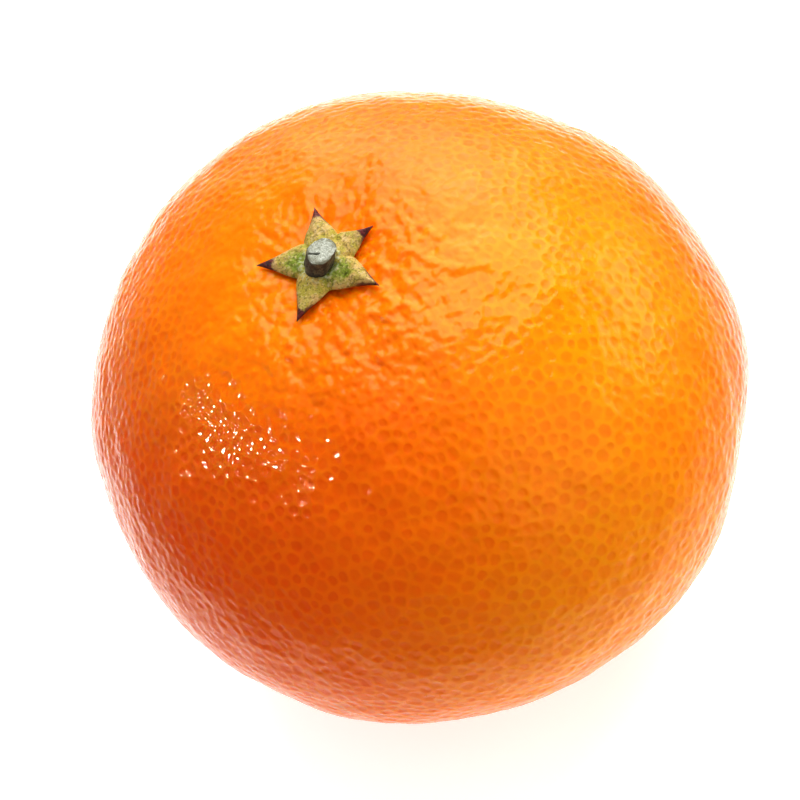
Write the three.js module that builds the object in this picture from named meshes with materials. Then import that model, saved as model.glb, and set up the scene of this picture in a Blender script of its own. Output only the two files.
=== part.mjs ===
// A satsuma: one oblate citrus fruit, the five-lobed calyx at its stem end, and the cut stub of its stem.
// Millimetres, +Z up along the fruit's axis, stem end up. The origin is the middle of the flat spot that
// the fruit rests on. Azimuth 0 is +X and runs towards +Y; polar angle 0 is the stem end.
import * as THREE from "three";

// Fruit
const EQUATOR_RADIUS = 31;
const HALF_HEIGHT = 25.6;
const PROFILE_POWER = 1.95; // 2 is an ellipse, more is squarer
const OVAL = { share: 0.032, azimuth: 107 }; // the equator's two long ends
const LEAN = { share: 0.0067, azimuth: 270 }; // the side that stands out further
const TRIANGLE = { share: 0.0054, azimuth: 331 }; // the equator's three corners
// Lumps and dents of the growing fruit: where they are and how wide, in degrees, and their height.
const SWELLS = [
  { azimuth: 315, polar: 102, spread: 7, height: -0.6 },
  { azimuth: 291, polar: 108, spread: 8, height: 0.2 },
  { azimuth: 226, polar: 102, spread: 7, height: 0.25 },
  { azimuth: 175, polar: 84, spread: 8, height: -0.15 },
  { azimuth: 152, polar: 75, spread: 7, height: 0.33 },
  { azimuth: 85, polar: 61, spread: 12, height: 0.2 },
  { azimuth: 36, polar: 71, spread: 12, height: -0.13 },
  { azimuth: 9, polar: 80, spread: 8, height: 0.32 },
  { azimuth: 349, polar: 88, spread: 6, height: -0.14 },
  { azimuth: 335, polar: 94, spread: 8, height: 0.15 },
  { azimuth: 95, polar: 112, spread: 14, height: 0.35 },
  { azimuth: 60, polar: 128, spread: 12, height: -0.3 },
];
const DIMPLE_DEPTH = 1.5; // of the hollow that the calyx sits in, which flattens the stem end
const DIMPLE_SPREAD = 5.2;
const FLAT_DEPTH = 0.75; // how far the blossom end is pressed flat by resting on it
const SEGMENTS = 10; // inside the fruit, showing as faint ribs on its shoulder
const RIB_HEIGHT = 0.08;
const RIB_POLAR = 34; // degrees, where the ribs are strongest
const RIB_SPREAD = 11; // degrees

// Calyx
const GAP = 0.3; // between neighbouring pieces
// Each sepal's tip, how far the tip hooks sideways in degrees, and the notch after it, going round.
const SEPALS = [
  { azimuth: 66.8, length: 6.45, hook: 4, notch: { azimuth: 92.5, radius: 3.25 } },
  { azimuth: 138, length: 6.4, hook: 6, notch: { azimuth: 169, radius: 2.45 } },
  { azimuth: 217.5, length: 5.85, hook: -1, notch: { azimuth: 256, radius: 2.75 } },
  { azimuth: 299, length: 6.45, hook: -5, notch: { azimuth: 337, radius: 2.95 } },
  { azimuth: 3, length: 5.8, hook: -4, notch: { azimuth: 35, radius: 3.4 } },
];
const SEPAL_BULGE = 0.18; // of a sepal's sides
const TIP_HALF_WIDTH = 0.66; // a third of the way back from the tip
const HUB_RADIUS = 1.9; // the thick green middle that carries the stem
const HUB_THICKNESS = 0.75;
const SEPAL_THICKNESS = 0.6;
const EDGE_THICKNESS = 0.3;

// Stem stub
const STEM_FOOT = new THREE.Vector2(-0.13, -0.08); // where it stands on the calyx
const STEM_LEAN = new THREE.Vector2(0.82, -0.47); // how far the cut end stands off the foot
const STEM_BASE_RADIUS = 1.45;
const STEM_TOP_RADIUS = 1.38;
const STEM_HEIGHT = 1.55;

// Facets
const FRUIT_SECTORS = 72;
const FRUIT_RINGS = 44;
const STEPS_PER_SEPAL_SIDE = 7;
const CALYX_RINGS = [0.16, 0.32, 0.48, 0.62, 0.76, 0.88, 0.96, 1]; // shares of the way to the edge
const STEM_SIDES = 20;
const STEM_RINGS = 4;

const radians = THREE.MathUtils.degToRad;
const { cos, sin, acos, atan2, hypot, exp, abs, max } = Math;

const bell = (distance, spread) => exp(-0.5 * (distance / spread) ** 2);

function directionAt(azimuth, polar) {
  const a = radians(azimuth);
  const p = radians(polar);
  return new THREE.Vector3(sin(p) * cos(a), sin(p) * sin(a), cos(p));
}

// How far the surface lies from the fruit's centre in a direction, before the dimple and the flat spot.
function fruitRadius(direction) {
  const across = hypot(direction.x, direction.y);
  const azimuth = atan2(direction.y, direction.x);
  const wide = (across / EQUATOR_RADIUS) ** PROFILE_POWER;
  const high = (abs(direction.z) / HALF_HEIGHT) ** PROFILE_POWER;
  const profile = (wide + high) ** (-1 / PROFILE_POWER);
  const outOfRound =
    LEAN.share * across * cos(azimuth - radians(LEAN.azimuth)) +
    OVAL.share * across ** 2 * cos(2 * (azimuth - radians(OVAL.azimuth))) +
    TRIANGLE.share * across ** 3 * cos(3 * (azimuth - radians(TRIANGLE.azimuth)));
  let radius = profile * (1 + outOfRound);
  for (const swell of SWELLS) {
    const away = direction.angleTo(directionAt(swell.azimuth, swell.polar));
    radius += swell.height * bell(away, radians(swell.spread));
  }
  const ribs = bell(acos(direction.z) - radians(RIB_POLAR), radians(RIB_SPREAD));
  return radius + RIB_HEIGHT * ribs * cos(SEGMENTS * azimuth);
}

// The point of the fruit's surface in a direction from its centre.
function fruitPoint(direction) {
  const point = direction.clone().multiplyScalar(fruitRadius(direction));
  if (direction.z > 0) {
    point.z -= DIMPLE_DEPTH * bell(hypot(point.x, point.y), DIMPLE_SPREAD);
  }
  point.z = max(point.z + HALF_HEIGHT - FLAT_DEPTH, 0);
  return point;
}

function makeFruit() {
  const geometry = new THREE.SphereGeometry(1, FRUIT_SECTORS, FRUIT_RINGS).rotateX(Math.PI / 2);
  const position = geometry.getAttribute("position");
  const direction = new THREE.Vector3();
  for (let i = 0; i < position.count; i++) {
    direction.fromBufferAttribute(position, i).normalize();
    position.setXYZ(i, ...fruitPoint(direction));
  }
  geometry.computeVertexNormals();
  return geometry;
}

// The point of the peel under a place near the stem end, seen from above.
function peelUnder(place) {
  return fruitPoint(new THREE.Vector3(place.x, place.y, HALF_HEIGHT).normalize());
}

function polar2(radius, azimuth) {
  return new THREE.Vector2(radius * cos(radians(azimuth)), radius * sin(radians(azimuth)));
}

// One side of a sepal, from a notch to the tip. The side is -1 before the tip and 1 after it, going round.
function sepalSide(notch, sepal, side) {
  const start = polar2(notch.radius, notch.azimuth);
  const tip = polar2(sepal.length, sepal.azimuth);
  const outward = polar2(side, sepal.azimuth + 90);
  const belly = start.clone().lerp(tip, 1 / 3).addScaledVector(outward, SEPAL_BULGE);
  const beforeTip = tip
    .clone()
    .sub(polar2(sepal.length / 3, sepal.azimuth + sepal.hook))
    .addScaledVector(outward, TIP_HALF_WIDTH);
  return new THREE.CubicBezierCurve(start, belly, beforeTip, tip).getPoints(STEPS_PER_SEPAL_SIDE);
}

// The star's outline, seen from above, running round by increasing azimuth.
function starOutline() {
  return SEPALS.flatMap((sepal, i) => {
    const notchBefore = SEPALS.at(i - 1).notch;
    const toTip = sepalSide(notchBefore, sepal, -1);
    const fromTip = sepalSide(sepal.notch, sepal, 1).reverse();
    return [...toTip.slice(0, -1), ...fromTip.slice(0, -1)];
  });
}

// The calyx's thickness at a place, which is a share of the way from the middle to the edge.
function calyxThickness(radius, share) {
  const cushion = EDGE_THICKNESS + (SEPAL_THICKNESS - EDGE_THICKNESS) * (1 - share ** 3);
  const hub = bell(max(radius - HUB_RADIUS, 0), 0.5);
  return cushion + (HUB_THICKNESS - SEPAL_THICKNESS) * hub;
}

// A closed skin over two stacks of rings that share their last ring's number of points: rings of points
// from the middle of the top out to the edge, then from the edge back to the middle of the bottom.
function closedSkin(top, rings, bottom) {
  const around = rings[0].length;
  const corners = [top, ...rings.flat(), bottom];
  const last = corners.length - 1;
  const at = (ring, i) => 1 + ring * around + (i % around);
  const faces = [];
  for (let i = 0; i < around; i++) {
    faces.push(0, at(0, i), at(0, i + 1));
    for (let ring = 0; ring + 1 < rings.length; ring++) {
      faces.push(at(ring, i), at(ring + 1, i), at(ring + 1, i + 1));
      faces.push(at(ring, i), at(ring + 1, i + 1), at(ring, i + 1));
    }
    faces.push(last, at(rings.length - 1, i + 1), at(rings.length - 1, i));
  }
  const geometry = new THREE.BufferGeometry().setFromPoints(corners).setIndex(faces);
  geometry.computeVertexNormals();
  return geometry;
}

function makeCalyx() {
  const outline = starOutline();
  const middle = new THREE.Vector2(0, 0);
  const lift = (place, height) => peelUnder(place).add(new THREE.Vector3(0, 0, height));
  const ring = (share, heightAt) =>
    outline.map((edge) => {
      const place = edge.clone().multiplyScalar(share);
      return lift(place, heightAt(place.length(), share));
    });
  const topHeight = (radius, share) => GAP + calyxThickness(radius, share);
  const upper = CALYX_RINGS.map((share) => ring(share, topHeight));
  const lower = CALYX_RINGS.map((share) => ring(share, () => GAP)).reverse();
  return closedSkin(lift(middle, topHeight(0, 0)), [...upper, ...lower], lift(middle, GAP));
}

function makeStem() {
  const hubTop = peelUnder(new THREE.Vector2(0, 0)).z + GAP + HUB_THICKNESS;
  const base = hubTop + GAP;
  const geometry = new THREE.CylinderGeometry(
    STEM_TOP_RADIUS,
    STEM_BASE_RADIUS,
    STEM_HEIGHT,
    STEM_SIDES,
    STEM_RINGS,
  ).rotateX(Math.PI / 2);
  const position = geometry.getAttribute("position");
  for (let i = 0; i < position.count; i++) {
    const risen = position.getZ(i) / STEM_HEIGHT + 0.5;
    const azimuth = atan2(position.getY(i), position.getX(i));
    const uneven = 1 + 0.035 * cos(3 * azimuth + 0.6) + 0.03 * cos(5 * azimuth + 2);
    position.setXYZ(
      i,
      position.getX(i) * uneven + STEM_FOOT.x + STEM_LEAN.x * risen,
      position.getY(i) * uneven + STEM_FOOT.y + STEM_LEAN.y * risen,
      base + STEM_HEIGHT * risen,
    );
  }
  geometry.computeVertexNormals();
  return geometry;
}

function piece(name, geometry, color, roughness) {
  const material = new THREE.MeshStandardMaterial({ color, roughness, metalness: 0 });
  const mesh = new THREE.Mesh(geometry, material);
  mesh.name = name;
  return mesh;
}

const satsuma = new THREE.Group();
satsuma.add(
  piece("fruit", makeFruit(), 0xf57d08, 0.4),
  piece("calyx", makeCalyx(), 0xa3a052, 0.7),
  piece("stem_stub", makeStem(), 0x8f8c80, 0.85),
);

export default satsuma;
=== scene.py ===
"""A satsuma on a pale studio floor: peel with its oil glands, dried calyx and cut stem stub."""

import math

import bpy
import numpy as np
from mathutils import Matrix, Vector, noise
from mathutils.geometry import delaunay_2d_cdt


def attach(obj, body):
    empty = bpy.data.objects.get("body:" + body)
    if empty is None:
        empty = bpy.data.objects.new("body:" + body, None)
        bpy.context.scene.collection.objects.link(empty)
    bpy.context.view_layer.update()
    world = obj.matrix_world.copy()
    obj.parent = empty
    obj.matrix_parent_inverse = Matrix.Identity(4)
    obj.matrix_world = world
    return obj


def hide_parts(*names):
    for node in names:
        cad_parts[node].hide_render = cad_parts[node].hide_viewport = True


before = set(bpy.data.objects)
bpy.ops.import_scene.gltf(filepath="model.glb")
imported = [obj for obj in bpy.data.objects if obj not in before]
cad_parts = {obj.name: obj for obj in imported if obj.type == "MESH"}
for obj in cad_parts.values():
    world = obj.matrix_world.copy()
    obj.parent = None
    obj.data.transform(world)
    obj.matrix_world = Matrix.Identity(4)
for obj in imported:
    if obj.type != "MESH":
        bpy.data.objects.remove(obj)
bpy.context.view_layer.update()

# Lengths are in millimetres until a mesh or a light is made. Azimuth 0 is +X and runs towards +Y;
# polar angle 0 is the stem end. Angles are in degrees.
MM = 0.001
SEED = 7
UPWARD = (0, 0, 1)

# The fruit's shape, with the same named values as its solid.
EQUATOR_RADIUS = 31.0
HALF_HEIGHT = 25.6
PROFILE_POWER = 1.95
OVAL = (0.032, 107)
LEAN = (0.0067, 270)
TRIANGLE = (0.0054, 331)
SWELLS = [  # azimuth, polar angle, spread, height
    (315, 102, 7, -0.6),
    (291, 108, 8, 0.2),
    (226, 102, 7, 0.25),
    (175, 84, 8, -0.15),
    (152, 75, 7, 0.33),
    (85, 61, 12, 0.2),
    (36, 71, 12, -0.13),
    (9, 80, 8, 0.32),
    (349, 88, 6, -0.14),
    (335, 94, 8, 0.15),
    (95, 112, 14, 0.35),
    (60, 128, 12, -0.3),
]
DIMPLE_DEPTH = 1.5
DIMPLE_SPREAD = 5.2
FLAT_DEPTH = 0.75
SEGMENTS = 10
RIB_HEIGHT = 0.08
RIB_POLAR = 34
RIB_SPREAD = 11
CENTRE_HEIGHT = HALF_HEIGHT - FLAT_DEPTH

# Finer forms of the peel
SKIN_INSET = 0.03  # keeps the finest forms inside the solid's box
FLAT_EDGE = 0.15  # how softly the flat spot's edge turns up
GLAND_SPACING = 1.3
GLAND_SPACING_AT_STEM = 0.86
STEM_FINE_REACH = 10.0  # how far from the axis the glands stay finer
GLAND_SPACING_JITTER = 0.24
GLAND_SCATTER = 0.35  # how far a gland starts from an even spread, as a share of the spacing
GLAND_SHARES = (0.39, 0.5)  # a gland's radius as a share of its spacing
GLAND_TONES = (0.45, 1.0)  # how strongly a gland shows its own colour
GLAND_REACH = 1.3  # how far its relief reaches, in radii
GLAND_ROUNDS = 9  # how often the glands push their neighbours
GLAND_PUSH = 0.14  # how far each time, as a share of what is missing
NEIGHBOURS_EVERY = 4  # after how many rounds the neighbours are looked up again
MERIDIAN_STEPS = 4000
PIT_DEPTH = 0.072
PITTED_FROM = (8.0, 19.0)  # how far from the axis the pits begin, and where they are full
WAVE_HEIGHT = 0.14
WAVES = ((4.5, 1, 1.0), (2.1, 8, 0.6))  # wavelength, seed and share of each layer of noise
PUFF_HEIGHT = 0.28
PUFFS = ((1.05, 2, 1.0), (0.65, 7, 0.6))
PUFF_REACH = (19.0, 9.0)  # how far from the axis the puffs begin, and where they are full
PUFF_SIDE = (282, 0.42)  # the azimuth where the peel is puffiest, and how much flatter it is opposite
PLEAT_HEIGHT = 0.2
PLEATS_AROUND = 58
PLEAT_LENGTH = 2.5
PLEAT_REACH = (10, 6)  # how far from the axis the pleats begin, and where they are full
SCAR_AT = (0.8, -0.5)
SCAR_RADIUS = 1.3
SCAR_DEPTH = 0.35
RIPENESS_UNEVEN = 0.1
RIPENESS_LAYERS = ((17, 5, 1.0), (7, 6, 0.5))
GLAND_BOWL = -0.022  # the height of a gland's own dent in its pit
LUMPS = (0.7, 0.08)  # wavelength and height
PEBBLES = (0.65, 0.2)
RIPENESS_BASE = 0.05
RIPENESS_AND_PAINTED_LIGHT_PATCHES = [  # azimuth, polar angle, spread, how much more golden than the rest; partly the peel's own colour, partly painted light and shade
    (320, 57, 27, 1.0),  # the golden shoulder to the right of the picture
    (170, 22, 25, 0.45),  # a paler one to the left of the calyx
    (180, 70, 20, -0.3),  # deep orange at the left rim
    (270, 90, 25, 0.6),  # golden again at the lower right
    (340, 95, 25, -0.7),  # the right rim
    (80, 100, 45, 0.45),  # the side that the picture doesn't show
]

# Calyx and stem stub, with the same named values as their solids.
GAP = 0.3
SEPALS = [  # tip azimuth, length, hook, then the notch after it: azimuth, radius
    (66.8, 6.45, 4, 92.5, 3.25),
    (138, 6.4, 6, 169, 2.45),
    (217.5, 5.85, -1, 256, 2.75),
    (299, 6.45, -5, 337, 2.95),
    (3, 5.8, -4, 35, 3.4),
]
WITHERED = (0.79, 0.73, 0.81, 0.9, 0.74)  # where each sepal's dark tip starts, as a share of its length
SEPAL_BULGE = 0.18
TIP_HALF_WIDTH = 0.66
HUB_THICKNESS = 0.75
EDGE_THICKNESS = 0.3
SEPAL_SIDE_POINTS = 30
CALYX_RINGS = 34
SEPAL_RISE = 0.3  # how much higher a sepal is than its edge
SEPAL_ROUNDING = 0.35  # how soon behind its edge it has risen
COLLAR = (1.85, 0.35, 0.25)  # radius, spread and height of the ring round the stem
VALLEY = (0.16, 0.17)  # depth and spread of the valleys between the sepals
HUMP = (4.0, 300, 0.7, 0.3)  # radius, azimuth, spread and height of one sepal's folded hump
CREASE = (2.95, 303, 0.3)  # radius, azimuth and depth of the crease behind it
CREASE_SPREADS = ((292, 0.14), (22, 0.7))  # the azimuth across it and along it, and how far it spreads
CALYX_GRAIN = ((0.8, 10, 0.1), (0.4, 11, 0.07), (0.22, 12, 0.04))
CALYX_GREENS = ((-1.5, 1.6, 0.6), (0.9, -2.0, 0.6))  # where the calyx is still green
CALYX_RING_MIDDLE = (0.0, 0.0, 0.6)
STEM_FOOT = (-0.13, -0.08)
STEM_LEAN = (0.82, -0.47)
STEM_BASE_RADIUS = 1.45
STEM_TOP_RADIUS = 1.38
STEM_HEIGHT = 1.55
STEM_CRACK = np.array([(-1.05, 0.55), (-0.3, -0.15)])  # its two ends on the cut
STEM_SUNK = 0.25  # how deep its foot stands in the calyx
STEM_SAWN_OFF = 0.1  # how much lower the cut is than the solid's top
BARK_LAYERS = ((4, 1.0, 21, 0.07), (2, 0.35, 22, 0.04))  # radius of the noise, wavelength, seed, height
CUT_LAYERS = ((0.5, 23, 0.05), (0.22, 25, 0.04))
CRACK_DEPTH = 0.12
CRACK_WIDTH = (0.13, 0.03)  # how far from its middle it begins, and where it is full
RIM_WEAR = 0.1
STUB_SIDES = 96
STUB_SIDE_ROWS = 24
STUB_CUT_ROWS = 20

# The camera, about the middle of the fruit
CAMERA_ELEVATION = 54.3
CAMERA_ROLL = 35.26
CAMERA_DISTANCE = 310.0
CAMERA_LENS = 150.1
CAMERA_SENSOR = 36
CAMERA_ASIDE = (-1.389, -0.082)  # how far the aim stands from the middle, in the picture's own axes

# The studio's soft lights: azimuth and elevation of each one's middle, the angles from the middle where
# it is full and where it has faded out, and its brightness.
SOFT_LIGHTS = {
    "key": (40, 50, 28, 34, 2.45),
    "overhead": (0, 85, 8, 34, 0.5),
    "back_panel": (60, 5, 15, 35, 1.5),
    "side_panel": (-3, 0, 8, 32, 2.1),
    "front_fill": (-60, 28, 8, 40, 0.55),
}
ROOM_GLOW = 0.28
FLOOR_GLOW = 0.42
FLOOR_CONTACT = (3, 21)  # how far from the axis the shade under the fruit begins to clear and has cleared
FLOOR_POOL = (-15, 15)  # the middle of the pool of light on the floor, in millimetres
FLOOR_SHADE = (55, 120)  # how far from its middle the pool begins to fade and has faded
FLOOR_HALF = 2500
# Two small bright lamps that sparkle on the glossy skin: azimuth, elevation, size and power
SPARKS = {
    "spark": (153, 33, 22, 0.75),
    "second_spark": (180, 44, 10, 0.5),
}
SPARK_DISTANCE = 700


# ---------------------------------------------------------------- small helpers


def unit(vectors):
    return vectors / np.linalg.norm(vectors, axis=-1, keepdims=True)


def bell(distance, spread):
    return np.exp(-0.5 * (distance / spread) ** 2)


def ramp(value, start, end):
    """0 before start, 1 after end, and smooth between them. start may be the larger."""
    share = np.clip((value - start) / (end - start), 0, 1)
    return share * share * (3 - 2 * share)


def direction_at(azimuth, polar):
    a, p = math.radians(azimuth), math.radians(polar)
    return np.array([math.sin(p) * math.cos(a), math.sin(p) * math.sin(a), math.cos(p)])


def rough(points, wavelength, seed=0.0):
    """Smooth noise from about -1 to 1 at points in millimetres, with this wavelength."""
    offset = Vector((seed * 17.3, seed * 5.1, seed * 9.7))
    return np.array([noise.noise(Vector(p) + offset) for p in np.asarray(points) / wavelength])


def layers(points, given):
    """Noise in layers, each with its wavelength, seed and share."""
    return sum(share * rough(points, wavelength, seed) for wavelength, seed, share in given)


def turn_of(azimuth, from_azimuth):
    """The turn from one azimuth to another, from -180 to 180."""
    return (azimuth - from_azimuth + 180) % 360 - 180


def polar2(radius, azimuth):
    a = math.radians(azimuth)
    return np.array([radius * math.cos(a), radius * math.sin(a)])


def new_mesh(name, points, faces, material):
    """A smooth-shaded object from points in millimetres."""
    mesh = bpy.data.meshes.new(name)
    mesh.from_pydata((np.asarray(points) * MM).tolist(), [], np.asarray(faces).tolist())
    mesh.update()
    mesh.shade_smooth()
    mesh.materials.append(material)
    made = bpy.data.objects.new(name, mesh)
    bpy.context.scene.collection.objects.link(made)
    return made


def store(mesh, name, values, domain="POINT"):
    """Keeps one number or one vector for each point or face, for the material to read."""
    values = np.asarray(values, dtype=np.float32)
    vectors = values.ndim == 2
    kept = mesh.attributes.new(name, "FLOAT_VECTOR" if vectors else "FLOAT", domain)
    kept.data.foreach_set("vector" if vectors else "value", values.ravel())


# ---------------------------------------------------------------- the fruit's surface


def fruit_radius(directions):
    across = np.hypot(directions[:, 0], directions[:, 1])
    azimuth = np.arctan2(directions[:, 1], directions[:, 0])
    wide = (across / EQUATOR_RADIUS) ** PROFILE_POWER
    high = (np.abs(directions[:, 2]) / HALF_HEIGHT) ** PROFILE_POWER
    profile = (wide + high) ** (-1 / PROFILE_POWER)
    out_of_round = sum(
        share * across**fold * np.cos(fold * (azimuth - math.radians(at)))
        for fold, (share, at) in enumerate((LEAN, OVAL, TRIANGLE), start=1)
    )
    radius = profile * (1 + out_of_round)
    for azimuth_at, polar_at, spread, height in SWELLS:
        cosine = directions @ direction_at(azimuth_at, polar_at)
        away = np.degrees(np.arccos(np.clip(cosine, -1, 1)))
        radius += height * bell(away, spread)
    polar = np.degrees(np.arccos(np.clip(directions[:, 2], -1, 1)))
    return radius + RIB_HEIGHT * bell(polar - RIB_POLAR, RIB_SPREAD) * np.cos(SEGMENTS * azimuth)


def fruit_points(directions):
    """The points of the smooth surface in these directions from the fruit's centre."""
    points = directions * (fruit_radius(directions) - SKIN_INSET)[:, None]
    from_axis = np.hypot(points[:, 0], points[:, 1])
    top = directions[:, 2] > 0
    points[:, 2] -= np.where(top, DIMPLE_DEPTH * bell(from_axis, DIMPLE_SPREAD), 0)
    height = points[:, 2] + CENTRE_HEIGHT
    points[:, 2] = (height + np.hypot(height, FLAT_EDGE)) / 2
    return points


def directions_of(points):
    return unit(points - np.array([0, 0, CENTRE_HEIGHT]))


def peel_under(places):
    """The points of the peel under places near the stem end, seen from above."""
    heights = np.full((len(places), 1), HALF_HEIGHT)
    return fruit_points(unit(np.hstack([places, heights])))


# ---------------------------------------------------------------- oil glands


def gland_spacing(points):
    from_axis = np.hypot(points[:, 0], points[:, 1])
    fine = bell(from_axis, STEM_FINE_REACH) * (points[:, 2] > CENTRE_HEIGHT)
    return GLAND_SPACING + (GLAND_SPACING_AT_STEM - GLAND_SPACING) * fine


def spread_directions():
    """Directions a gland's spacing apart all over the fruit, in a spiral from pole to pole."""
    polar = np.linspace(0.001, math.pi - 0.001, MERIDIAN_STEPS)
    meridian = np.stack([np.sin(polar), np.zeros_like(polar), np.cos(polar)], axis=1)
    points = fruit_points(meridian)
    step = np.linalg.norm(np.diff(points, axis=0), axis=1)
    middles = (points[1:] + points[:-1]) / 2
    ring = 2 * math.pi * np.hypot(middles[:, 0], middles[:, 1])
    per_gland = gland_spacing(middles) ** 2 * math.sqrt(3) / 2
    running = np.concatenate([[0], np.cumsum(ring * step / per_gland)])
    count = int(running[-1])
    index = np.arange(count) + 0.5
    at = np.interp(index * running[-1] / count, running, polar)
    turn = index * math.pi * (3 - math.sqrt(5))
    return np.stack([np.sin(at) * np.cos(turn), np.sin(at) * np.sin(turn), np.cos(at)], axis=1)


def triangles_over(directions):
    """The triangles that join neighbouring directions into a closed skin, facing out.

    The sphere is projected from its last direction onto a plane, where neighbours stay neighbours."""
    axis = -directions[-1]
    side = unit(np.cross(axis, [1.0, 0.0, 0.0]))
    other = np.cross(axis, side)
    rest = directions[:-1]
    flat = np.stack([rest @ side, rest @ other], axis=1) / (1 + rest @ axis)[:, None]
    joined = delaunay_2d_cdt([Vector(p) for p in flat], [], [], 0, 1e-9)
    faces = [tuple(face) for face in joined[2]]
    edges = {(face[i], face[(i + 1) % 3]) for face in faces for i in range(3)}
    last = len(directions) - 1
    faces += [(b, a, last) for a, b in sorted(edges) if (b, a) not in edges]
    faces = np.array(faces)
    a, b, c = (directions[faces[:, i]] for i in range(3))
    inward = np.einsum("ij,ij->i", np.cross(b - a, c - a), a) < 0
    faces[inward] = faces[inward][:, ::-1]
    return faces


def edges_of(faces):
    pairs = np.sort(np.vstack([faces[:, [0, 1]], faces[:, [1, 2]], faces[:, [2, 0]]]), axis=1)
    return np.unique(pairs, axis=0)


def settle(directions, sizes):
    """Glands push their neighbours until each has about the room its size asks for."""
    for turn in range(GLAND_ROUNDS):
        if turn % NEIGHBOURS_EVERY == 0:
            edges = edges_of(triangles_over(directions))
        points = fruit_points(directions)
        wanted = gland_spacing(points) * sizes
        along = points[edges[:, 1]] - points[edges[:, 0]]
        length = np.linalg.norm(along, axis=1, keepdims=True)
        room = wanted[edges].mean(axis=1)[:, None]
        push = along / length * (length - room) * GLAND_PUSH
        moved = points.copy()
        np.add.at(moved, edges[:, 0], push)
        np.add.at(moved, edges[:, 1], -push)
        directions = directions_of(moved)
    return directions


def gland_shape(distance, radius):
    """How fully a place lies in a gland: 1 over its middle, 0 at its rim."""
    share = np.clip(distance / radius, 0, 1)
    return (1 - share**2) ** 2


# ---------------------------------------------------------------- the peel's mesh


def split_in_three(faces, count):
    """Splits each triangle's sides in three. Returns the new points as weights of three old ones, the new
    faces, and the old face that each lies in."""
    edges = edges_of(faces)
    key = {tuple(edge): i for i, edge in enumerate(edges.tolist())}
    corners = [np.stack([np.arange(count)] * 3, axis=1)]
    weights = [np.tile([1.0, 0.0, 0.0], (count, 1))]
    for share in (1 / 3, 2 / 3):
        corners.append(np.stack([edges[:, 0], edges[:, 1], edges[:, 1]], axis=1))
        weights.append(np.tile([1 - share, share, 0.0], (len(edges), 1)))
    corners.append(faces)
    weights.append(np.full((len(faces), 3), 1 / 3))

    def on_edge(start, end, nearer_start):
        low_first = start < end
        index = np.array([key[tuple(sorted(pair))] for pair in zip(start.tolist(), end.tolist())])
        return count + index + len(edges) * (low_first != nearer_start)

    a, b, c = faces.T
    ab, ba = on_edge(a, b, True), on_edge(a, b, False)
    bc, cb = on_edge(b, c, True), on_edge(b, c, False)
    ca, ac = on_edge(c, a, True), on_edge(c, a, False)
    middle = count + 2 * len(edges) + np.arange(len(faces))
    small = [
        (a, ab, ac),
        (ab, middle, ac),
        (ab, ba, middle),
        (ba, b, bc),
        (ba, bc, middle),
        (middle, bc, cb),
        (ac, middle, ca),
        (middle, cb, ca),
        (ca, cb, c),
    ]
    new_faces = np.stack([np.stack(corner, axis=1) for corner in small], axis=1).reshape(-1, 3)
    owner = np.repeat(np.arange(len(faces)), len(small))
    return np.vstack(corners), np.vstack(weights), new_faces, owner


def puffed(points):
    """How puffy the peel is: full round the calyx, less on the side away from PUFF_SIDE, 0 further out."""
    from_axis = np.hypot(points[:, 0], points[:, 1])
    facing = points[:, :2] @ polar2(1, PUFF_SIDE[0]) / np.maximum(from_axis, 0.01)
    top = points[:, 2] > CENTRE_HEIGHT
    return ramp(from_axis, *PUFF_REACH) * (1 - PUFF_SIDE[1] * (1 - facing)) * top


def crumple(points):
    """Low waves all over, pebbly puffs round the calyx and pleats beside it, in millimetres."""
    from_axis = np.hypot(points[:, 0], points[:, 1])
    top = points[:, 2] > CENTRE_HEIGHT
    puffy = puffed(points)
    waves = layers(points, WAVES)
    puffs = layers(points, PUFFS) * puffy
    around = points[:, :2] / from_axis[:, None] * PLEATS_AROUND / (2 * math.pi)
    pleated = ramp(from_axis, *PLEAT_REACH) * top
    pleats = rough(np.column_stack([around, from_axis / PLEAT_LENGTH]), 1.0, 3) * pleated
    height = WAVE_HEIGHT * (waves - 0.5) + PUFF_HEIGHT * (puffs - 0.9 * puffy)
    return height + PLEAT_HEIGHT * (pleats - 0.5 * pleated)


def pitted(points):
    """How fully the glands lie in pits: 0 near the stem, where the peel is puffed up, and 1 further out."""
    from_axis = np.hypot(points[:, 0], points[:, 1])
    return np.where(points[:, 2] > CENTRE_HEIGHT, ramp(from_axis, *PITTED_FROM), 1)


def scar(points):
    """How fully the little scar at the blossom end covers each point, from 0 to 1."""
    away = np.hypot(points[:, 0] - SCAR_AT[0], points[:, 1] - SCAR_AT[1])
    ragged = away * (1 + 0.25 * rough(points, 1.1, 4))
    return ramp(ragged, SCAR_RADIUS * 1.25, SCAR_RADIUS * 0.75) * (points[:, 2] < CENTRE_HEIGHT)


def ripeness(directions):
    """How golden rather than deep orange the peel is, from 0 to 1. Its uneven noise is the peel's own
    colour; its patches are partly the peel's own colour and partly painted light and shade.
    """
    golden = RIPENESS_BASE + RIPENESS_UNEVEN * layers(directions * EQUATOR_RADIUS, RIPENESS_LAYERS)
    # The patches paint light and shade into the colour as well as the peel's own golden and deep orange.
    for azimuth, polar, spread, amount in RIPENESS_AND_PAINTED_LIGHT_PATCHES:
        cosine = directions @ direction_at(azimuth, polar)
        golden += amount * bell(np.degrees(np.arccos(np.clip(cosine, -1, 1))), spread)
    return np.clip(golden, 0, 1)


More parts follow.
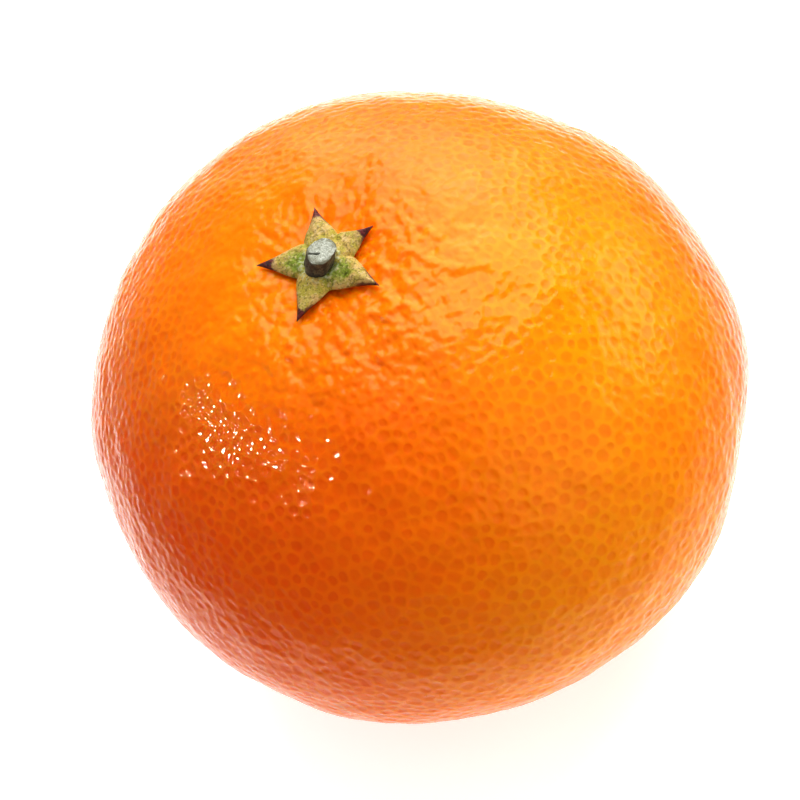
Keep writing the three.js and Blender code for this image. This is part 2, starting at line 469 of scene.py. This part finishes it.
def make_glands():
    """The oil glands: their directions from the fruit's centre, places, radii and tones."""
    rng = np.random.default_rng(SEED)
    directions = spread_directions()
    sizes = 1 + rng.uniform(-GLAND_SPACING_JITTER, GLAND_SPACING_JITTER, len(directions))
    spacing = gland_spacing(fruit_points(directions))
    nudge = rng.normal(0, GLAND_SCATTER, directions.shape) * spacing[:, None] / EQUATOR_RADIUS
    directions = settle(unit(directions + nudge), sizes)
    glands = fruit_points(directions)
    radii = gland_spacing(glands) * sizes * rng.uniform(*GLAND_SHARES, len(glands))
    tones = rng.uniform(*GLAND_TONES, len(glands))
    return directions, glands, radii, tones


def fullness_of_glands(skin, corners, glands, radii, tones):
    """How fully each point of the skin lies in the glands at the corners of its triangle."""
    fullness = np.zeros(len(skin))
    for i in range(3):
        gland = corners[:, i]
        new = np.ones(len(skin), bool) if i == 0 else (gland != corners[:, i - 1])
        distance = np.linalg.norm(skin - glands[gland], axis=1)
        share = gland_shape(distance, radii[gland] * GLAND_REACH) * (0.6 + 0.4 * tones[gland])
        fullness += np.where(new, share, 0)
    return fullness


def make_peel(material):
    directions, glands, radii, tones = make_glands()
    faces = triangles_over(directions)
    corners, weights, small_faces, owner = split_in_three(faces, len(directions))
    skin_directions = unit(np.einsum("ij,ijk->ik", weights, directions[corners]))
    skin = fruit_points(skin_directions)
    fullness = fullness_of_glands(skin, corners, glands, radii, tones)
    scarred = scar(skin)
    in_pits = pitted(skin)
    pits = PIT_DEPTH * fullness * in_pits * (1 - scarred)
    outward = crumple(skin) - pits - SCAR_DEPTH * scarred
    points = skin + skin_directions * outward[:, None]
    points[:, 2] = np.maximum(points[:, 2], 0)

    peel = new_mesh("peel", points, small_faces, material)
    mesh = peel.data
    store(mesh, "skin", skin)
    store(mesh, "ripeness", ripeness(skin_directions))
    store(mesh, "pitted", in_pits)
    store(mesh, "puffed", puffed(skin))
    store(mesh, "scar", scarred)
    for i, name in enumerate(("gland_a", "gland_b", "gland_c")):
        store(mesh, name, glands[faces[owner, i]], "FACE")
    store(mesh, "gland_radii", radii[faces[owner]], "FACE")
    store(mesh, "gland_tones", tones[faces[owner]], "FACE")
    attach(peel, "root")
    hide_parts("fruit")
    return peel


# ---------------------------------------------------------------- node materials


class Nodes:
    """A node tree, with a short way to add a node and link what it reads."""

    def __init__(self, tree):
        self.tree = tree
        tree.nodes.clear()

    def add(self, kind, settings=None, **inputs):
        node = self.tree.nodes.new(kind)
        for key, value in (settings or {}).items():
            setattr(node, key, value)
        for key, value in inputs.items():
            self.feed(node, key.replace("_", " "), value)
        return node

    def feed(self, node, name, value):
        socket = node.inputs[int(name) if name.isdigit() else name]
        if isinstance(value, bpy.types.NodeSocket):
            self.tree.links.new(value, socket)
        else:
            socket.default_value = value

    def attribute(self, name, output="Fac"):
        return self.add("ShaderNodeAttribute", {"attribute_name": name}).outputs[output]

    def math(self, operation, *values):
        node = self.add("ShaderNodeMath", {"operation": operation})
        for i, value in enumerate(values):
            self.feed(node, str(i), value)
        return node.outputs[0]

    def distance(self, first, second):
        node = self.add("ShaderNodeVectorMath", {"operation": "DISTANCE"})
        self.feed(node, "0", first)
        self.feed(node, "1", second)
        return node.outputs["Value"]

    def smooth(self, value, start, end, low=0.0, high=1.0):
        node = self.add("ShaderNodeMapRange", {"interpolation_type": "SMOOTHSTEP"})
        for name, given in zip(("Value", "From Min", "From Max", "To Min", "To Max"),
                               (value, start, end, low, high)):
            self.feed(node, name, given)
        return node.outputs["Result"]

    def noise(self, vector, wavelength, detail=2.0, roughness=0.5):
        node = self.add("ShaderNodeTexNoise", Vector=vector, Scale=1 / wavelength, Detail=detail,
                        Roughness=roughness)
        return node.outputs["Fac"]

    def mix(self, share, first, second):
        node = self.add("ShaderNodeMix", {"data_type": "RGBA"})
        self.feed(node, "0", share)
        self.feed(node, "6", first)
        self.feed(node, "7", second)
        return node.outputs[2]

    def bump(self, height):
        """The normal of a surface with this relief, its height in millimetres."""
        return self.add("ShaderNodeBump", Height=height, Strength=1.0, Distance=MM).outputs["Normal"]

    def finish(self, shader):
        output = self.add("ShaderNodeOutputMaterial")
        self.tree.links.new(shader.outputs[0], output.inputs["Surface"])


def new_material(name):
    material = bpy.data.materials.new(name)
    material.use_nodes = True
    return material, Nodes(material.node_tree)


def colour(red, green, blue):
    """A linear colour from display values of 0 to 255."""
    def linear(value):
        value /= 255
        return value / 12.92 if value <= 0.04045 else ((value + 0.055) / 1.055) ** 2.4
    return (linear(red), linear(green), linear(blue), 1.0)


def gland_patterns(n, skin):
    """How far a place lies in its gland's disc and bowl, from 0 to 1, and the gland's own tone."""
    radii = n.add("ShaderNodeSeparateXYZ", Vector=n.attribute("gland_radii", "Vector")).outputs
    tones = n.add("ShaderNodeSeparateXYZ", Vector=n.attribute("gland_tones", "Vector")).outputs

    # How far out in each of the three nearest glands a place is: 0 at its middle, 1 at its rim
    shares = []
    for name, radius in zip(("gland_a", "gland_b", "gland_c"), radii):
        away = n.distance(skin, n.attribute(name, "Vector"))
        shares.append(n.math("DIVIDE", away, radius))
    nearest = n.math("MINIMUM", n.math("MINIMUM", shares[0], shares[1]), shares[2])
    furthest = n.math("MAXIMUM", n.math("MAXIMUM", shares[0], shares[1]), shares[2])
    total = n.math("ADD", n.math("ADD", shares[0], shares[1]), shares[2])
    second = n.math("SUBTRACT", n.math("SUBTRACT", total, nearest), furthest)

    # The wall between two glands is where a place is about as far out in both.
    wall = n.smooth(n.math("SUBTRACT", second, nearest), 0.1, 1.0)
    wobble = n.math("MULTIPLY", n.math("SUBTRACT", n.noise(skin, 0.5, 1.0), 0.5), 0.5)
    out = n.math("ADD", nearest, wobble)
    disc = n.math("MULTIPLY", n.smooth(out, 1.15, 0.72), wall)
    bowl = n.math("MULTIPLY", n.smooth(out, 1.15, 0.2), n.smooth(wall, 0.0, 1.0, 0.4, 1.0))
    tone = 0.0
    for share, given in zip(shares, tones):
        mine = n.math("COMPARE", share, nearest)
        tone = n.math("ADD", n.math("MULTIPLY", mine, given), tone)
    return disc, bowl, tone


def peel_colour(n, skin, disc, tone, in_pits, scarred):
    """Deep orange to golden, with darker glands and a brown scar; the golden share is partly painted light
    and shade.
    """
    ripe_and_painted_light = n.attribute("ripeness")
    # Golden against deep orange: partly the peel's own colour, partly painted light and shade.
    ridge = n.mix(ripe_and_painted_light, colour(249, 113, 2), colour(249, 165, 3))
    gland = n.mix(ripe_and_painted_light, colour(238, 94, 0), colour(243, 147, 0))
    mottle = n.noise(skin, 2.6, 3.0)
    ridge = n.mix(n.smooth(mottle, 0.35, 0.7, 0.0, 0.4), ridge, gland)
    tone = n.math("MULTIPLY", tone, n.smooth(in_pits, 0.0, 1.0, 0.25, 1.0))
    skin_colour = n.mix(n.math("MULTIPLY", disc, tone), ridge, gland)
    return n.mix(scarred, skin_colour, colour(126, 92, 48))


def peel_normal(n, skin, bowl, in_pits):
    """The finest relief: the glands' bowls, low lumps, and pebbles where the peel is puffed."""
    dents = n.math("MULTIPLY", bowl, n.math("MULTIPLY", in_pits, GLAND_BOWL))
    lumps = n.math("MULTIPLY", n.noise(skin, LUMPS[0], 0.0), LUMPS[1])
    pebbles = n.math("MULTIPLY", n.noise(skin, PEBBLES[0], 0.0), PEBBLES[1])
    pebbles = n.math("MULTIPLY", pebbles, n.attribute("puffed"))
    return n.bump(n.math("ADD", n.math("ADD", dents, lumps), pebbles))


def peel_material():
    material, n = new_material("peel")
    skin = n.attribute("skin", "Vector")
    in_pits = n.attribute("pitted")
    scarred = n.attribute("scar")
    disc, bowl, tone = gland_patterns(n, skin)
    normal = peel_normal(n, skin, bowl, in_pits)
    gloss = n.smooth(n.noise(skin, 1.1, 3.0), 0.3, 0.7, 0.26, 0.38)
    shader = n.add(
        "ShaderNodeBsdfPrincipled",
        Base_Color=peel_colour(n, skin, disc, tone, in_pits, scarred),
        Roughness=n.math("ADD", gloss, n.math("MULTIPLY", scarred, 0.3)),
        IOR=1.36,
        Specular_IOR_Level=0.05,
        Subsurface_Weight=0.85,
        Subsurface_Radius=(1.0, 0.32, 0.06),
        Subsurface_Scale=1.0 * MM,
        Coat_Weight=0.68,
        Coat_Roughness=0.035,
        Coat_IOR=1.4,
        Normal=normal,
    )
    n.feed(shader, "Coat Normal", normal)
    n.finish(shader)
    return material


# ---------------------------------------------------------------- calyx


def bezier(points, count):
    t = np.linspace(0, 1, count + 1)[:, None]
    a, b, c, d = points
    return (1 - t) ** 3 * a + 3 * (1 - t) ** 2 * t * b + 3 * (1 - t) * t**2 * c + t**3 * d


def sepal_side(notch, sepal, side, count):
    """One side of a sepal, from a notch to the tip; side is -1 before the tip and 1 after it."""
    azimuth, length, hook = sepal[:3]
    start, tip = polar2(notch[1], notch[0]), polar2(length, azimuth)
    outward = side * polar2(1, azimuth + 90)
    belly = start + (tip - start) / 3 + SEPAL_BULGE * outward
    before_tip = tip - polar2(length / 3, azimuth + hook) + TIP_HALF_WIDTH * outward
    return bezier((start, belly, before_tip, tip), count)


def star_outline(count):
    """The calyx's outline, with this many points on each side of a sepal."""
    points = []
    for i, sepal in enumerate(SEPALS):
        to_tip = sepal_side(SEPALS[i - 1][3:], sepal, -1, count)
        from_tip = sepal_side(sepal[3:], sepal, 1, count)[::-1]
        points += [*to_tip[:-1], *from_tip[:-1]]
    return np.array(points)


def distance_to_outline(places, outline):
    start = outline
    span = np.roll(outline, -1, axis=0) - outline
    reach = places[:, None, :] - start[None]
    share = np.einsum("ijk,jk->ij", reach, span) / np.einsum("jk,jk->j", span, span)
    nearest = start[None] + np.clip(share, 0, 1)[..., None] * span[None]
    return np.linalg.norm(places[:, None, :] - nearest, axis=2).min(axis=1)


def out_along_sepal(places):
    """How far out along its sepal each place is, 1 at the tip, and how far it lies past the start of the
    sepal's dark tip, below 0 before it."""
    out = np.zeros(len(places))
    withered = np.full(len(places), -1.0)
    for (azimuth, length, *_), start in zip(SEPALS, WITHERED):
        share = places @ polar2(1, azimuth) / length
        nearer = share > out
        out = np.where(nearer, share, out)
        withered = np.where(nearer, share - start, withered)
    return out, withered


def fold_relief(places):
    """The hump of the folded sepal, and the crease behind it."""
    hump_radius, hump_azimuth, hump_spread, hump_height = HUMP
    from_hump = np.linalg.norm(places - polar2(hump_radius, hump_azimuth), axis=1)
    crease_radius, crease_azimuth, crease_depth = CREASE
    from_crease = places - polar2(crease_radius, crease_azimuth)
    crease = crease_depth
    for azimuth, spread in CREASE_SPREADS:
        crease = crease * bell(from_crease @ polar2(1, azimuth), spread)
    return hump_height * bell(from_hump, hump_spread) - crease


def calyx_relief(places, from_edge):
    """The calyx's upper side above the peel: thin sepals, valleys between them, a collar and a fold."""
    radius = np.linalg.norm(places, axis=1)
    azimuth = np.degrees(np.arctan2(places[:, 1], places[:, 0]))
    rounding = 1 - np.exp(-from_edge / SEPAL_ROUNDING)
    relief = GAP * (0.3 + 0.7 * rounding) + EDGE_THICKNESS * 0.35 + SEPAL_RISE * rounding
    collar_radius, collar_spread, collar_height = COLLAR
    relief += collar_height * bell(radius - collar_radius, collar_spread)
    valley_depth, valley_spread = VALLEY
    for *_, notch_azimuth, notch_radius in SEPALS:
        aside = np.radians(turn_of(azimuth, notch_azimuth)) * radius
        reach = ramp(radius, 1.7, 2.1) * ramp(radius, notch_radius + 0.4, notch_radius - 0.2)
        relief -= valley_depth * bell(aside, valley_spread) * reach
    relief += fold_relief(places)
    spots = np.column_stack([places, np.zeros(len(places))])
    return relief + layers(spots, CALYX_GRAIN) * (0.2 + 0.8 * rounding)


def calyx_faces(around, rings):
    """The faces of two equal discs, each with a middle point and rings round it, joined at their rims."""
    column = np.arange(around)
    after = (column + 1) % around
    offset, last_ring = 1 + rings * around, 1 + (rings - 1) * around

    def ring_faces(inner, outer, flip):
        a, b = inner + column, outer + column
        c, d = outer + after, inner + after
        faces = np.vstack([np.stack([a, b, c], axis=1), np.stack([a, c, d], axis=1)])
        return faces[:, ::-1] if flip else faces

    faces = []
    for base, flip in ((0, False), (offset, True)):
        fan = np.stack([np.full(around, base), base + 1 + column, base + 1 + after], axis=1)
        faces.append(fan[:, ::-1] if flip else fan)
        for ring in range(rings - 1):
            inner = base + 1 + ring * around
            faces.append(ring_faces(inner, inner + around, flip))
    faces.append(ring_faces(last_ring, offset + last_ring, False))
    return np.vstack(faces)


def make_calyx(material):
    outline = star_outline(SEPAL_SIDE_POINTS)
    shares = np.sin(np.linspace(0, math.pi / 2, CALYX_RINGS + 1))[1:]
    places = np.vstack([np.zeros((1, 2))] + [outline * share for share in shares])
    from_edge = distance_to_outline(places, outline)
    skin = peel_under(places)
    relief = calyx_relief(places, from_edge)
    under = 0.03 + 0.07 * ramp(from_edge, 0.7, 0.0)
    top = skin + np.outer(relief, UPWARD)
    bottom = skin + np.outer(np.minimum(under, relief / 2), UPWARD)
    faces = calyx_faces(len(outline), CALYX_RINGS)
    calyx = new_mesh("calyx_leaves", np.vstack([top, bottom]), faces, material)
    mesh = calyx.data
    out, withered = out_along_sepal(places)
    store(mesh, "place", np.column_stack([np.tile(places, (2, 1)), np.append(relief, 0 * relief)]))
    store(mesh, "from_edge", np.tile(from_edge, 2))
    store(mesh, "out", np.tile(out, 2))
    store(mesh, "withered", np.tile(withered, 2))
    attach(calyx, "root")
    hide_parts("calyx")
    return calyx


def calyx_material():
    """Dry, speckled olive and straw, greener at the heart, with withered purple-brown tips."""
    material, n = new_material("calyx")
    place = n.attribute("place", "Vector")
    from_edge = n.attribute("from_edge")
    out = n.attribute("out")
    green = n.math("MINIMUM", *(n.distance(place, middle) for middle in CALYX_GREENS))
    blotch = n.noise(place, 0.9, 2.0)
    speck = n.noise(place, 0.2, 2.0)
    pale = n.noise(place, 0.28, 2.0)
    uneven = n.math("SUBTRACT", blotch, 0.5)

    skin = n.mix(n.smooth(blotch, 0.4, 0.6), colour(168, 154, 58), colour(190, 164, 80))
    outer = n.math("MULTIPLY_ADD", uneven, 1.2, out)
    skin = n.mix(n.smooth(outer, 0.35, 0.8, 0.0, 0.7), skin, colour(192, 160, 108))
    green = n.math("MULTIPLY_ADD", uneven, 1.6, green)
    skin = n.mix(n.smooth(green, 1.7, 0.7, 0.0, 0.85), skin, colour(122, 142, 36))
    skin = n.mix(n.smooth(pale, 0.52, 0.7, 0.0, 0.6), skin, colour(208, 188, 146))
    skin = n.mix(n.smooth(speck, 0.5, 0.66, 0.0, 0.6), skin, colour(92, 80, 16))
    ring = n.smooth(n.distance(place, CALYX_RING_MIDDLE), 2.25, 1.9, 0.0, 0.45)
    skin = n.mix(n.math("MULTIPLY", ring, n.smooth(pale, 0.4, 0.6)), skin, colour(186, 198, 168))

    ragged = n.math("MULTIPLY", n.math("SUBTRACT", n.noise(place, 0.45, 2.0), 0.5), 0.2)
    tip = n.smooth(n.math("ADD", n.attribute("withered"), ragged), -0.03, 0.03)
    margin = n.smooth(n.math("ADD", from_edge, ragged), 0.16, 0.04, 0.0, 0.85)
    margin = n.math("MULTIPLY", margin, n.smooth(out, 0.6, 0.75))
    brown = n.mix(n.smooth(speck, 0.35, 0.65), colour(54, 10, 6), colour(112, 34, 36))
    skin = n.mix(n.math("MAXIMUM", tip, margin), skin, brown)
    normal = n.bump(n.math("MULTIPLY", n.math("ADD", speck, pale), 0.05))
    shader = n.add(
        "ShaderNodeBsdfPrincipled",
        Base_Color=skin,
        Roughness=n.smooth(tip, 0.0, 1.0, 0.62, 0.42),
        Normal=normal,
        Subsurface_Weight=0.08,
        Subsurface_Radius=(0.6, 0.8, 0.3),
        Subsurface_Scale=0.4 * MM,
    )
    n.finish(shader)
    return material


# ---------------------------------------------------------------- stem stub


def stub_rows():
    """The stub's rows of points, up its side and then in over the cut: the radius, how far it has risen,
    and whether the row is on the cut."""
    risen = np.linspace(0, 1, STUB_SIDE_ROWS)
    inward = np.linspace(1, 0, STUB_CUT_ROWS + 1)
    side_radius = STEM_BASE_RADIUS + (STEM_TOP_RADIUS - STEM_BASE_RADIUS) * risen
    side = np.column_stack([side_radius, risen, 0 * risen])
    cut = np.column_stack([STEM_TOP_RADIUS * inward, 0 * inward + 1, 0 * inward + 1])
    return np.vstack([side, cut[1:-1]])


def stub_radius_share(azimuth):
    """The stub's outline: a rounded pentagon with one flatter side."""
    a = np.radians(azimuth)
    share = 1 + 0.035 * np.cos(3 * a + 0.6) + 0.03 * np.cos(5 * a + 2)
    return share - 0.06 * bell(turn_of(azimuth, 95), 24)


def distance_to_segment(places, start, end):
    span = end - start
    share = np.clip((places - start) @ span / (span @ span), 0, 1)[:, None]
    return np.linalg.norm(places - start - share * span, axis=1)


def stub_faces(row_count):
    """The faces between the stub's rows, with its cut and its foot closed on the last two points."""
    rings = np.arange(row_count * STUB_SIDES).reshape(row_count, STUB_SIDES)
    after = np.roll(rings, -1, axis=1)
    cut_middle, foot_middle = rings.size, rings.size + 1
    lower, upper = rings[:-1].ravel(), rings[1:].ravel()
    lower_after, upper_after = after[:-1].ravel(), after[1:].ravel()
    return np.vstack([
        np.column_stack([lower, lower_after, upper_after]),
        np.column_stack([lower, upper_after, upper]),
        np.column_stack([rings[-1], after[-1], np.full(STUB_SIDES, cut_middle)]),
        np.column_stack([after[0], rings[0], np.full(STUB_SIDES, foot_middle)]),
    ])


def make_stub(material):
    hub_top = peel_under(np.zeros((1, 2)))[0, 2] + GAP + HUB_THICKNESS
    foot, top = hub_top - STEM_SUNK, hub_top + GAP + STEM_HEIGHT - STEM_SAWN_OFF
    rows = stub_rows()
    radius, risen, on_cut = np.repeat(rows, STUB_SIDES, axis=0).T
    azimuth = np.tile(np.arange(STUB_SIDES) * 360 / STUB_SIDES, len(rows))
    # Two more points close the cut and the foot.
    radius = np.append(radius * stub_radius_share(azimuth), [0, 0])
    risen, on_cut, azimuth = np.append(risen, [1, 0]), np.append(on_cut, [1, 0]), np.append(azimuth, [0, 0])
    outward = np.column_stack([np.cos(np.radians(azimuth)), np.sin(np.radians(azimuth))])
    across = radius[:, None] * outward
    height = foot + (top - foot) * risen

    bark = sum(
        share * rough(np.column_stack([wide * outward, height]), wavelength, seed)
        for wide, wavelength, seed, share in BARK_LAYERS
    )
    across += np.where(on_cut > 0, 0, bark - 0.05)[:, None] * outward * (radius > 0)[:, None]
    grain = np.column_stack([across, 0 * risen])
    wavering = np.column_stack([0 * risen, 0.06 * rough(grain, 0.35, 24)])
    from_crack = distance_to_segment(across + wavering, *STEM_CRACK)
    cracked = ramp(from_crack, *CRACK_WIDTH) * on_cut
    sawn = layers(grain, CUT_LAYERS)
    worn = RIM_WEAR * ramp(radius, 0.85 * STEM_TOP_RADIUS, STEM_TOP_RADIUS) * (risen > 0.95)
    height += np.where(on_cut > 0, sawn - 0.05 - CRACK_DEPTH * cracked, 0) - worn
    places = across + STEM_FOOT + np.outer(risen, STEM_LEAN)

    stub = new_mesh("stem_cut", np.column_stack([places, height]), stub_faces(len(rows)), material)
    mesh = stub.data
    store(mesh, "cut", on_cut)
    store(mesh, "rim", ramp(radius, 0.55 * STEM_TOP_RADIUS, STEM_TOP_RADIUS))
    # The crack's mask, used to paint shade into the crack.
    store(mesh, "painted_crack_shade", cracked)
    store(mesh, "place", np.column_stack([across, height - foot]))
    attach(stub, "root")
    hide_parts("stem_stub")
    return stub


def stub_material():
    material, n = new_material("stem")
    place = n.attribute("place", "Vector")
    cut = n.attribute("cut")
    fibre = n.noise(place, 0.13, 3.0)
    blotch = n.noise(place, 0.5, 2.0)
    bark = n.mix(n.smooth(blotch, 0.35, 0.65), colour(84, 76, 62), colour(122, 114, 92))
    bark = n.mix(n.smooth(fibre, 0.5, 0.7, 0.0, 0.6), bark, colour(34, 22, 18))
    wood = n.mix(n.smooth(fibre, 0.35, 0.65), colour(164, 166, 150), colour(206, 208, 196))
    wood = n.mix(n.smooth(blotch, 0.45, 0.65, 0.0, 0.5), wood, colour(146, 146, 128))
    wood = n.mix(n.smooth(n.noise(place, 0.1, 1.0), 0.58, 0.7, 0.0, 0.7), wood, colour(108, 104, 86))
    wood = n.mix(n.math("MULTIPLY", n.attribute("rim"), n.smooth(blotch, 0.3, 0.6)), wood,
                 colour(128, 126, 106))
    # The crack is painted darker grey: painted shade in the crack.
    wood = n.mix(n.attribute("painted_crack_shade"), wood, colour(70, 72, 60))
    skin = n.mix(n.smooth(cut, 0.4, 0.6), bark, wood)
    normal = n.bump(n.math("MULTIPLY", fibre, 0.025))
    shader = n.add("ShaderNodeBsdfPrincipled", Base_Color=skin, Roughness=0.75, Normal=normal)
    n.finish(shader)
    return material


# ---------------------------------------------------------------- studio


def make_floor():
    """White paper that glows a little, in a pool of light that fades further out and under the fruit."""
    material, n = new_material("floor")
    position = n.add("ShaderNodeNewGeometry").outputs["Position"]
    begins, ends = np.multiply(FLOOR_SHADE, MM).tolist()
    away = n.distance(position, (FLOOR_POOL[0] * MM, FLOOR_POOL[1] * MM, 0.0))
    faded = n.smooth(away, begins, ends)
    paper = n.mix(n.noise(position, 2 * MM, 2.0), colour(242, 242, 242), colour(248, 248, 248))
    paper = n.mix(faded, paper, colour(176, 176, 176))
    begins, ends = np.multiply(FLOOR_CONTACT, MM).tolist()
    under = n.smooth(n.distance(position, (0.0, 0.0, 0.0)), begins, ends, 1.0, 0.0)
    glow = n.mix(n.math("MAXIMUM", faded, under), colour(255, 255, 255), colour(60, 60, 60))
    shader = n.add("ShaderNodeBsdfPrincipled", Base_Color=paper, Roughness=0.9, Emission_Color=glow,
                   Emission_Strength=FLOOR_GLOW)
    n.finish(shader)
    corners = [(FLOOR_HALF * x, FLOOR_HALF * y, 0) for x, y in ((-1, -1), (1, -1), (1, 1), (-1, 1))]
    floor = new_mesh("floor", corners, [(0, 1, 2, 3)], material)


def make_world():
    """A dark studio with soft lights round the fruit, each a patch of brightness that fades at its edge."""
    world = bpy.data.worlds.new("studio")
    bpy.context.scene.world = world
    world.use_nodes = True
    n = Nodes(world.node_tree)
    seen_from = n.add("ShaderNodeTexCoord").outputs["Generated"]
    total = ROOM_GLOW
    for azimuth, elevation, full, faded, brightness in SOFT_LIGHTS.values():
        towards = n.add("ShaderNodeVectorMath", {"operation": "DOT_PRODUCT"})
        n.feed(towards, "0", seen_from)
        n.feed(towards, "1", direction_at(azimuth, 90 - elevation).tolist())
        begins, ends = math.cos(math.radians(faded)), math.cos(math.radians(full))
        patch = n.smooth(towards.outputs["Value"], begins, ends, 0.0, brightness)
        total = n.math("ADD", patch, total)
    background = n.add("ShaderNodeBackground", Color=(1.0, 1.0, 1.0, 1.0), Strength=total)
    output = n.add("ShaderNodeOutputWorld")
    n.tree.links.new(background.outputs[0], output.inputs["Surface"])


def make_spark(name, azimuth, elevation, size, power):
    """A small lamp that only shows as a glint, because it lights nothing else."""
    light = bpy.data.lights.new(name, "AREA")
    light.shape = "DISK"
    light.size = size * MM
    light.energy = power
    made = bpy.data.objects.new(name, light)
    towards = Vector(direction_at(azimuth, 90 - elevation))
    made.location = (Vector((0, 0, CENTRE_HEIGHT)) + towards * SPARK_DISTANCE) * MM
    made.rotation_euler = towards.to_track_quat("Z", "Y").to_euler()
    made.visible_diffuse = False
    bpy.context.scene.collection.objects.link(made)


def make_camera():
    tilt, roll = math.radians(CAMERA_ELEVATION), math.radians(CAMERA_ROLL)
    back = Vector((0, -math.cos(tilt), math.sin(tilt)))
    level = Vector((1, 0, 0))
    raised = back.cross(level)
    right = level * math.cos(roll) - raised * math.sin(roll)
    up = level * math.sin(roll) + raised * math.cos(roll)
    aside = right * CAMERA_ASIDE[0] + up * CAMERA_ASIDE[1]
    place = (Vector((0, 0, CENTRE_HEIGHT)) + aside + back * CAMERA_DISTANCE) * MM
    camera = bpy.data.cameras.new("camera")
    camera.lens = CAMERA_LENS
    camera.sensor_width = CAMERA_SENSOR
    camera.clip_start = 0.01
    made = bpy.data.objects.new("camera", camera)
    made.matrix_world = Matrix.Translation(place) @ Matrix((right, up, back)).transposed().to_4x4()
    bpy.context.scene.collection.objects.link(made)
    bpy.context.scene.camera = made


def main():
    make_peel(peel_material())
    make_calyx(calyx_material())
    make_stub(stub_material())
    make_floor()
    make_world()
    for name, spark in SPARKS.items():
        make_spark(name, *spark)
    make_camera()
    bpy.context.scene.view_settings.view_transform = "Standard"
    bpy.context.scene.view_settings.look = "High Contrast"


main()
